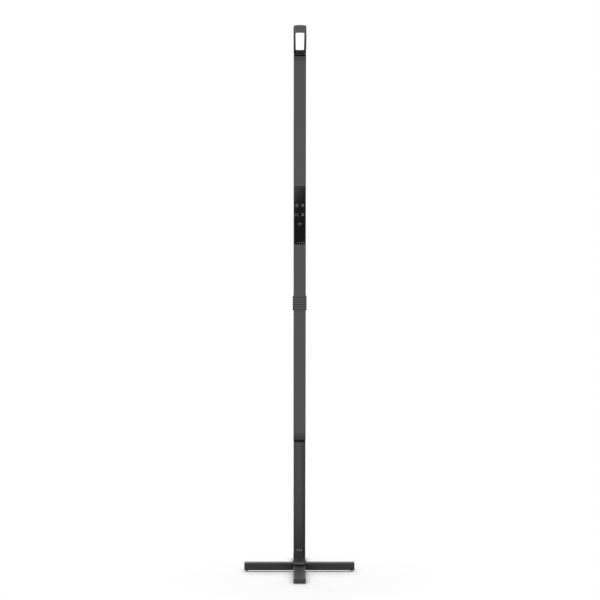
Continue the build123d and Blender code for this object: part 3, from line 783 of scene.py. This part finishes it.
shape = bmesh.new()
for side in (-1, 1):
    middle = Vector((side * screw_spacing / 2, 0, screw_low.z))
    profile = [
        (socket_rim, 0),
        (head_radius - head_round, 0),
        (head_radius, head_round),
        (head_radius, head_height),
        (shank_radius, head_height),
        (shank_radius, screw_high.z - screw_low.z),
        (0, screw_high.z - screw_low.z),
    ]
    turned(shape, [middle + Vector((x, 0, z)) for x, z in profile], middle, steps=48)
    rim = [edge for edge in shape.edges if edge.is_boundary]
    hexagon = bmesh.ops.create_circle(
        shape, segments=6, radius=socket_radius, matrix=Matrix.Translation(middle)
    )["verts"]
    hexagon_edges = list({edge for corner in hexagon for edge in corner.link_edges})
    bmesh.ops.bridge_loops(shape, edges=rim + hexagon_edges)
    floor_ring, corners = next_ring(shape, hexagon_edges)
    bmesh.ops.translate(shape, verts=corners, vec=(0, 0, socket_depth))
    close(shape, floor_ring)
seat(shape, "socket_screws", "base", "plain_steel", ["base_screws"])

# %% [markdown]
# ## The flared flange
# A cast flange spreads the tube's foot onto the bars like a small trumpet. It is a turned piece: its profile
# runs out from the lip to the rim by a power curve, which stays steep at the tube and flattens at the rim. A
# slot across its underside straddles the cross bar, and a straight sloped step closes it at front and back.

# %% Flange
flange_low, flange_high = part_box("base_flange")
tube_radius = tube_high.x
rim_radius = flange_high.y
rim_height = 1.6 * mm
lip_radius = tube_radius + 0.15 * mm
flare_power = 3.6
flare_steps = 14
edge_round = 0.3 * mm
saddle_half = 12.5 * mm
saddle_rise = 4.9 * mm
saddle_inside = 3.0 * mm
slot_room = 0.01 * mm


def flare_radius(share):
    """Radius of the flare, from the rim at 0 to the lip at 1."""
    return lip_radius + (rim_radius - lip_radius) * (1 - share) ** flare_power


def sliced(shape, place, normal):
    """Cut a mesh along a plane and keep both sides."""
    whole = shape.verts[:] + shape.edges[:] + shape.faces[:]
    bmesh.ops.bisect_plane(shape, geom=whole, plane_co=place, plane_no=normal)


shape = bmesh.new()
rim_top = flange_low.z + rim_height
flare = [
    (flare_radius(step / flare_steps), rim_top + (flange_high.z - rim_top) * step / flare_steps)
    for step in range(1, flare_steps + 1)
]
profile = [
    (0, flange_low.z),
    (rim_radius - edge_round, flange_low.z),
    (rim_radius, flange_low.z + edge_round),
    (rim_radius, rim_top - edge_round),
    (rim_radius - edge_round, rim_top),
    *flare,
    (tube_radius, flange_high.z),
    (tube_radius, tube_low.z),
    (0, tube_low.z),
]
turned(shape, [(x, 0, z) for x, z in profile])
slot_half = bar_high.y + lap_room
sliced(shape, (0, -slot_half, 0), (0, 1, 0))
sliced(shape, (0, slot_half, 0), (0, 1, 0))
sliced(shape, (0, 0, bar_high.z + slot_room), (0, 0, 1))
middles = {face: face.calc_center_median() for face in shape.faces}
slot_faces = [face for face, at in middles.items() if at.z < bar_high.z and abs(at.y) < slot_half]
bmesh.ops.delete(shape, geom=slot_faces, context="FACES")
bmesh.ops.holes_fill(shape, edges=[edge for edge in shape.edges if edge.is_boundary], sides=0)
# The flange gets a darker copy of the bars' coat: painted shade.
seat(shape, "flared_flange", "base", "bar_paint", ["base_flange"], powder_coat("cast_coat", 0.016, 0.019))

# %% Flange steps
shape = bmesh.new()
for side in (-1, 1):
    step_view = [
        (tube_radius - saddle_inside, flange_low.z),
        (rim_radius, flange_low.z),
        (rim_radius, rim_top),
        (tube_radius, rim_top + saddle_rise),
        (tube_radius - saddle_inside, rim_top + saddle_rise),
    ]
    pulled(shape, [(-saddle_half, side * y, z) for y, z in step_view], (2 * saddle_half, 0, 0))
round_edges(shape, sharp_edges(shape), edge_round, 3)
# The sloped steps get a lighter copy of the bars' coat: painted light.
seat(shape, "flange_steps", "base", "bar_paint", finish=powder_coat("step_coat", 0.060, 0.068))

# %% [markdown]
# ## Rings stacked on the pole's outline
# The ribbed sleeve and the top cap both follow the outline of the pole: a flat front with round corners and a
# bulged back, where the opal cover is. One ring of points has that outline. Each further ring is pulled out
# of the last one, lifted, and grown or shrunk by a margin.

# %% Pole outline
section_low, section_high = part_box("lower_channel")
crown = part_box("lower_diffuser")[1].y
half_width = section_high.x
half_depth = (crown - section_low.y) / 2
front_corner = 2.4 * mm
corner_steps = 6
back_steps = 14


def pole_outline():
    """Points round the pole, counter-clockwise from above, starting at its front left corner."""
    points = []
    for side, start in ((-1, 180), (1, 270)):
        for step in range(corner_steps + 1):
            angle = radians(start + 90 * step / corner_steps)
            middle_x = side * (half_width - front_corner)
            middle_y = section_low.y + front_corner
            points.append((middle_x + front_corner * cos(angle), middle_y + front_corner * sin(angle)))
    bulge = crown - section_high.y
    back_radius = (half_width**2 + bulge**2) / (2 * bulge)
    reach = asin(half_width / back_radius)
    for step in range(back_steps + 1):
        angle = reach - 2 * reach * step / back_steps
        points.append((back_radius * sin(angle), crown - back_radius + back_radius * cos(angle)))
    return points


def stacked(shape, levels):
    """Rings of the pole's outline at (height, margin) pairs, with walls. Gives the first and last ring."""
    height, margin = levels[0]
    corners = [shape.verts.new((x, y, height)) for x, y in pole_outline()]
    first = [shape.edges.new(pair) for pair in zip(corners, corners[1:] + corners[:1])]
    grow = Vector(((half_width + margin) / half_width, (half_depth + margin) / half_depth, 1))
    bmesh.ops.scale(shape, verts=corners, vec=grow)
    ring = first
    for next_height, next_margin in levels[1:]:
        ring, corners = next_ring(shape, ring)
        wide = (half_width + next_margin) / (half_width + margin)
        deep = (half_depth + next_margin) / (half_depth + margin)
        bmesh.ops.scale(shape, verts=corners, vec=(wide, deep, 1))
        bmesh.ops.translate(shape, verts=corners, vec=(0, 0, next_height - height))
        height, margin = next_height, next_margin
    return first, ring


print("outline points:", len(pole_outline()))

# %% Ribbed sleeve
rib_margin = 2.0 * mm
groove_margin = 0.9 * mm
wall_gap = 0.3 * mm
rib_round = 0.45 * mm
end_slope = 1.0 * mm
mouth_edge = 0.2 * mm
groove_slant = 0.1 * mm
soft_start = 0.3

shape = bmesh.new()
levels = [
    (sleeve_low.z, wall_gap + mouth_edge),
    (sleeve_low.z, groove_margin),
    (sleeve_low.z + end_slope, rib_margin),
]
for groove in range(groove_count):
    level = groove_start + groove * groove_pitch
    low = level - groove_width / 2
    high = level + groove_width / 2
    levels += [
        (low - rib_round, rib_margin),
        (low - rib_round * soft_start, rib_margin - rib_round * soft_start),
        (low, rib_margin - rib_round),
        (low + groove_slant, groove_margin),
        (high - groove_slant, groove_margin),
        (high, rib_margin - rib_round),
        (high + rib_round * soft_start, rib_margin - rib_round * soft_start),
        (high + rib_round, rib_margin),
    ]
levels += [
    (sleeve_high.z - end_slope, rib_margin),
    (sleeve_high.z, groove_margin),
    (sleeve_high.z, wall_gap + mouth_edge),
    (sleeve_high.z - mouth_edge, wall_gap),
    (sleeve_low.z + mouth_edge, wall_gap),
]
first, last = stacked(shape, levels)
bmesh.ops.bridge_loops(shape, edges=first + last)
seat(shape, "ribbed_sleeve", "sleeve", "grip_rubber", ["lock_sleeve"])

# %% [markdown]
# ## The top cap and its loop
# A dark cap closes the pole. A dull black gasket, with a thin lip over the pole's end, sets it off from the
# aluminium like a drawn line. A waisted barrel on a narrow web on top of it carries the loop's pin.

# %% Top cap
loop_joint = next(joint for joint in frame["joints"] if joint["name"] == "loop_tip")
pin_level = loop_joint["pos_m"][2]
eye_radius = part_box("end_cap")[1].z - pin_level
neck_height = 2.5 * mm
neck_inset = -0.35 * mm
lip_drop = 0.9 * mm
lip_out = 0.06 * mm
plate_top = pole_top + 5.7 * mm
plate_round = 0.35 * mm
plate_edge = 0.2 * mm
barrel_half = 9.95 * mm
barrel_waist = 0.5 * mm
barrel_steps = 16
web_half = 1.4 * mm
web_inset = 0.3 * mm

shape = bmesh.new()
levels = [(pole_top - lip_drop, -lip_out), (pole_top - lip_drop, lip_out), (pole_top, lip_out)]
levels += [(pole_top + lip_drop, neck_inset), (pole_top + neck_height, neck_inset)]
close(shape, *stacked(shape, levels))
gasket_rubber = moulded("gasket_rubber", 0.002, 0.005, 0.7, 0.02)
seat(shape, "cap_gasket", "pole", "seam_black", finish=gasket_rubber)

shape = bmesh.new()
plate_bottom = pole_top + neck_height
levels = [
    (plate_bottom, -plate_edge),
    (plate_bottom + plate_edge, 0),
    (plate_top - plate_round, 0),
    (plate_top - plate_round * soft_start, -plate_round * soft_start),
    (plate_top, -plate_round),
]
close(shape, *stacked(shape, levels))
barrel = [(-barrel_half, 0)]
for step in range(barrel_steps + 1):
    place = 2 * step / barrel_steps - 1
    barrel.append((place * barrel_half, eye_radius - barrel_waist * (1 - place**2)))
barrel.append((barrel_half, 0))
turned(shape, [(x, 0, pin_level + z) for x, z in barrel], (0, 0, pin_level), (1, 0, 0), steps=48)
web_end = barrel_half - web_inset
outline = rectangle(-web_half, plate_top, web_half, pin_level)
pulled(shape, [(-web_end, y, z) for y, z in outline], (2 * web_end, 0, 0))
cap_plastic = moulded("cap_plastic", 0.028, 0.035, 0.5, 0.05)
seat(shape, "top_cap", "pole", "black_plastic", ["end_cap"], cap_plastic)

# %% [markdown]
# The loop is a moulded strap, thin and narrow at its eyes and broad at the top, where a hand takes it. It is
# one section, a rectangle with round corners, carried in steps up one arm, over the top and down the other.
# An outer and an inner arch give each step its place and thickness.

# %% Strap finish
painted_shade_reach = (-4 * mm, 50 * mm)


def strap_plastic():
    """Moulded plastic, with painted shade that darkens it down at its eyes, below its top."""
    tree = finish_tree("strap_plastic")
    grain = tree.noise(2600)
    height = tree.part(tree.place(), "Z")
    unshaded = tree.ramp(height, *(pin_level + reach for reach in painted_shade_reach))
    unshaded_tint = tree.mix(grain, grey(0.076), grey(0.090))
    # Painted shade down at the eyes, under the strap's leaning top.
    return tree.surface(
        base_color=tree.mix(unshaded, grey(0.020), unshaded_tint),
        roughness=0.46 + grain * 0.12,
        specular_ior_level=0.06,
        normal=tree.bump(grain, 0.03 * mm),
    )


print("strap rubbed from", painted_shade_reach[0], "to", painted_shade_reach[1], "m above the pin")

# %% Strap section
loop_lean = radians(38)
loop_half = 15.0 * mm
loop_flare = 0.6 * mm
loop_arm = 5.0 * mm
loop_length = 72.5 * mm
loop_top = 4.5 * mm
loop_depth = 28.0 * mm
taper_length = 46.0 * mm
arch_start = 52.0 * mm
outer_squareness = 8.0
inner_squareness = 12.0
outer_dome = 1.8 * mm
inner_dome = 0.6 * mm
arch_steps = 60
arm_steps = 8
eye_steps = 6
arm_round = 0.9 * mm
top_round = 6.0 * mm
inner_round = 0.3 * mm
corner_points = 7
most_deep = 0.9
most_thick = 0.92
eye_start = 0.3


def arch(half, top, dome, squareness, angle):
    """A point of a soft-cornered arch with a domed top, from one foot at 0 to the other at pi."""
    across = abs(cos(angle)) ** (2 / squareness)
    rise = abs(sin(angle)) ** (2 / squareness)
    side = -1 if cos(angle) > 0 else 1
    return Vector((side * half * across, 0, arch_start + (top - dome * across**2 - arch_start) * rise))


def arm_depth(level):
    """Half the strap's depth at a height above the pin, round at the eye."""
    if level < 0:
        return sqrt(max(eye_radius**2 - level**2, 0))
    return eye_radius + (loop_depth / 2 - eye_radius) * min(level / taper_length, 1)


def strap_section(outer, inner, half, outer_round):
    """Corner arcs of one section between an outer and an inner point of the strap."""
    across = (outer - inner).normalized()
    thick = (outer - inner).length
    points = []
    for end, sign, radius, turns in ((outer, -1, outer_round, (1, -1)), (inner, 1, inner_round, (-1, 1))):
        deep = min(radius, half * most_deep)
        high = min(radius, thick * most_thick)
        for side in turns:
            for step in range(corner_points):
                turn = pi / 2 * step / (corner_points - 1)
                turn = pi / 2 - turn if side == turns[0] else turn
                inset = across * sign * high * (1 - cos(turn))
                points.append(end + inset + Vector((0, side * (half - deep * (1 - sin(turn))), 0)))
    return points


def arm_station(level):
    """Outer and inner point of the left arm, which leans out a little on its way up."""
    lean_out = loop_flare * max(level, 0) / arch_start
    outer = Vector((-loop_half - lean_out, 0, level))
    return outer, outer + Vector((loop_arm, 0, 0)), arm_round


print("strap", loop_length, "m long,", loop_depth, "m deep at its top")

# %% Carry loop
eye_turns = [pi / 2 * (step + eye_start) / eye_steps for step in range(eye_steps)]
stations = [arm_station(-eye_radius * cos(turn)) for turn in eye_turns]
stations += [arm_station(arch_start * step / arm_steps) for step in range(arm_steps)]
arch_half = loop_half + loop_flare
arch_inside = loop_length - loop_top
for step in range(arch_steps // 2 + 1):
    angle = pi * step / arch_steps
    outer = arch(arch_half, loop_length, outer_dome, outer_squareness, angle)
    inner = arch(arch_half - loop_arm, arch_inside, inner_dome, inner_squareness, angle)
    stations.append((outer, inner, arm_round + (top_round - arm_round) * sin(angle) ** 2))
flip = Vector((-1, 1, 1))
stations += [(outer * flip, inner * flip, radius) for outer, inner, radius in reversed(stations[:-1])]

shape = bmesh.new()
for place, (outer, inner, radius) in enumerate(stations):
    section = strap_section(outer, inner, arm_depth((outer.z + inner.z) / 2), radius)
    if place == 0:
        corners = [shape.verts.new(point) for point in section]
        ring = [shape.edges.new(pair) for pair in zip(corners, corners[1:] + corners[:1])]
        first = ring
    else:
        ring, fresh = next_ring(shape, ring)
        for corner, point in zip(fresh, section):
            corner.co = point
close(shape, first, ring)
lean = Matrix.Translation((0, 0, pin_level)) @ Matrix.Rotation(loop_lean, 4, "X")
bmesh.ops.transform(shape, matrix=lean, verts=shape.verts)
seat(shape, "carry_strap", "loop", "black_plastic", ["carry_loop"], strap_plastic())

# %% Hinge pin
pin_radius = 1.5 * mm
pin_proud = 0.1 * mm
pin_half = loop_half + pin_proud
pin_edge = 0.25 * mm

shape = bmesh.new()
profile = [(-pin_half, 0), (-pin_half, pin_radius - pin_edge), (-pin_half + pin_edge, pin_radius)]
profile += [(-x, z) for x, z in reversed(profile)]
turned(shape, [(x, 0, pin_level + z) for x, z in profile], (0, 0, pin_level), (1, 0, 0), steps=32)
seat(shape, "hinge_pin", "loop", "plain_steel", ["loop_pin"], steel("black_steel", 0.05, 0.08))

# %% [markdown]
# ## The touch panel
# A strip of black glass lies flush in the pole. Its edge is ground to a tiny slope, which draws a thin line
# of light round it. The signs are plain ones for such a lamp: timer, light level, two light shapes and power,
# with a row of charge marks at the bottom. They are printed, so each is a flat shape a hair thick.

# %% Touch glass
glass_corner = 1.0 * mm
glass_slope = 0.35 * mm

shape = bmesh.new()
outline = rectangle(glass_low.x, glass_low.z, glass_high.x, glass_high.z)
pulled(shape, [(x, glass_high.y, z) for x, z in outline], (0, glass_low.y - glass_high.y, 0))
depthwise = [edge for edge in shape.edges if runs_along(edge, 1)]
round_edges(shape, depthwise, glass_corner, 5)
in_front = {corner for corner in shape.verts if abs(corner.co.y - glass_low.y) < glass_slope}
round_edges(shape, [edge for edge in sharp_edges(shape) if in_front.issuperset(edge.verts)], glass_slope, 2)
seat(shape, "touch_glass_strip", "pole", "panel_black", ["touch_glass"])

# %% Printing tools
print_thickness = 0.04 * mm
sign_radius = 3.0 * mm
line_width = 0.8 * mm
sign_drop = 46.2 * mm
sign_rows = 23.1 * mm
sign_columns = 14.7 * mm
sign_face = Matrix.Rotation(pi / 2, 4, "X")


def ring_sign(shape, place, radius, width, start=0.0, sweep=2 * pi, steps=40):
    """A printed ring, or part of one: a short line turned round the sign's middle."""
    out = Vector((sin(start), cos(start), 0))
    ends = [shape.verts.new(place @ (out * far)) for far in (radius, radius - width)]
    line = ends + [shape.edges.new(ends)]
    whole = sweep == 2 * pi
    axis = (place.to_3x3() @ Vector((0, 0, -1))).normalized()
    middle = place.translation
    bmesh.ops.spin(shape, geom=line, cent=middle, axis=axis, angle=sweep, steps=steps, use_merge=whole)


def bar_sign(shape, place, x, y, width, height, turn=0.0):
    """A printed bar: a small grid square, scaled, turned and moved on the sign."""
    spot = place @ Matrix.Translation((x, y, 0)) @ Matrix.Rotation(turn, 4, "Z")
    size = Matrix.Diagonal((width, height, 1, 1))
    bmesh.ops.create_grid(shape, x_segments=1, y_segments=1, size=0.5, matrix=spot @ size)


print("printing tools ready")


# %% Sign shapes
def timer_sign(shape, place):
    """An open ring with a short tail, for the timer."""
    ring_sign(shape, place, sign_radius, line_width, radians(-20), radians(300))
    bar_sign(shape, place, -sign_radius * 0.34, sign_radius * 1.12, line_width, line_width * 1.6)


def light_sign(shape, place):
    """A ring between two short marks, for more or less light."""
    ring_sign(shape, place, sign_radius * 0.95, line_width)
    for side in (-1, 1):
        bar_sign(shape, place, 0, side * sign_radius * 1.25, line_width, line_width)


def frame_sign(shape, place):
    """A square frame of four corners."""
    far = sign_radius * 0.85
    for side_x in (-1, 1):
        for side_y in (-1, 1):
            bar_sign(shape, place, side_x * far, side_y * far * 0.72, line_width, far * 0.75)
            bar_sign(shape, place, side_x * far * 0.62, side_y * far, far * 0.75, line_width)


def rows_sign(shape, place):
    """Three rows, one over the other."""
    for row in (-1, 0, 1):
        bar_sign(shape, place, 0, row * sign_radius * 0.8, sign_radius * 1.8, line_width)


def power_sign(shape, place):
    """A ring, open below, with a short bar in its gap."""
    gap = radians(40)
    ring_sign(shape, place, sign_radius * 1.1, line_width, pi + gap, 2 * pi - 2 * gap)
    bar_sign(shape, place, 0, -sign_radius * 1.15, line_width, line_width * 1.5)


def sign_place(x, level):
    return Matrix.Translation((x, glass_low.y - print_thickness, level)) @ sign_face


def printed(shape, name, finish):
    """Give flat signs the thickness of their print and seat them on the glass."""
    bmesh.ops.remove_doubles(shape, verts=shape.verts, dist=merge_distance)
    bmesh.ops.recalc_face_normals(shape, faces=shape.faces)
    for face in shape.faces:
        if face.normal.y > 0:
            face.normal_flip()
    bmesh.ops.solidify(shape, geom=shape.faces[:], thickness=print_thickness)
    seat(shape, name, "pole", "white_plastic", finish=finish)


print("sign shapes ready")

# %% Panel signs
top_row = glass_high.z - sign_drop
left = -sign_columns / 2
right = sign_columns / 2
shape = bmesh.new()
timer_sign(shape, sign_place(left, top_row))
light_sign(shape, sign_place(right, top_row))
frame_sign(shape, sign_place(left, top_row - sign_rows))
rows_sign(shape, sign_place(right, top_row - sign_rows))
power_sign(shape, sign_place(0, top_row - 2 * sign_rows))
printed(shape, "panel_signs", icon_print())

# %% Charge marks
mark_rise = 4.3 * mm
mark_size = 1.7 * mm
mark_places = (-7.4 * mm, -0.8 * mm, 4.4 * mm, 9.6 * mm)

shape = bmesh.new()
for x in mark_places:
    bar_sign(shape, sign_place(x, glass_low.z + mark_rise), 0, 0, mark_size, mark_size)
printed(shape, "charge_marks", charge_print())

# %% [markdown]
# ## Light bars and charging inlet
# Three frosted bars low on the tube show the charge. Each is a stadium pulled out from inside the tube to its
# round front, in a black mask that keeps the light of one from its neighbour.

# %% Light bars
light_bar_level = 55.7 * mm
light_bar_places = (-5 * mm, 0, 5 * mm)
light_bar_width = 1.5 * mm
light_bar_height = 4.8 * mm
light_bar_depth = 3.0 * mm
light_bar_round = light_bar_width * 0.45

shape = bmesh.new()
for middle in light_bar_places:
    inside = light_bar_depth - sqrt(tube_radius**2 - middle**2)
    left = middle - light_bar_width / 2
    low = light_bar_level - light_bar_height / 2
    outline = rectangle(left, low, left + light_bar_width, low + light_bar_height)
    pulled(shape, [(x, inside, z) for x, z in outline], (0, -light_bar_depth, 0))
depthwise = [edge for edge in shape.edges if runs_along(edge, 1)]
round_edges(shape, depthwise, light_bar_round, 4)
seat(shape, "light_bars", "base", "clear_pipe", ["indicator_pipe"])

# %% Light mask
mask_size = Vector((13.5 * mm, 1.0 * mm, 6.5 * mm))
mask_spot = Vector((0, -11.3 * mm, light_bar_level))
mask_edge = 0.2 * mm

shape = bmesh.new()
bmesh.ops.create_cube(shape, size=1.0, matrix=Matrix.LocRotScale(mask_spot, None, mask_size))
round_edges(shape, shape.edges[:], mask_edge, 2)
seat(shape, "light_mask", "base", "black_plastic", finish=gasket_rubber)

# %% [markdown]
# At the back of the tube's foot is a small inlet. Its steel shell and tongue come with the frame, and the
# rows of gilt contacts on the tongue are added here.

# %% Inlet contacts
port_low, port_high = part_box("charge_port")
port_middle = (port_low.z + port_high.z) / 2
tongue_half = 0.35 * mm
contact_count = 8
contact_pitch = 0.75 * mm
contact_size = Vector((0.4 * mm, 3.6 * mm, 0.06 * mm))
contact_setback = 1.8 * mm
contact_row = port_high.y - contact_setback - contact_size.y / 2
contact_lift = tongue_half + contact_size.z / 2

shape = bmesh.new()
for side in (-1, 1):
    for contact in range(contact_count):
        x = (contact - (contact_count - 1) / 2) * contact_pitch
        spot = Vector((x, contact_row, port_middle + side * contact_lift))
        bmesh.ops.create_cube(shape, size=1.0, matrix=Matrix.LocRotScale(spot, None, contact_size))
wiped = (4000, (1, 0.1, 1))
dark_gilt, light_gilt = (0.62, 0.42, 0.13, 1), (0.80, 0.58, 0.22, 1)
gilt = grained("gilt_contact", wiped, dark_gilt, light_gilt, (0.22, 0.2), metallic=1.0)
seat(shape, "inlet_contacts", "base", "plain_steel", finish=gilt)
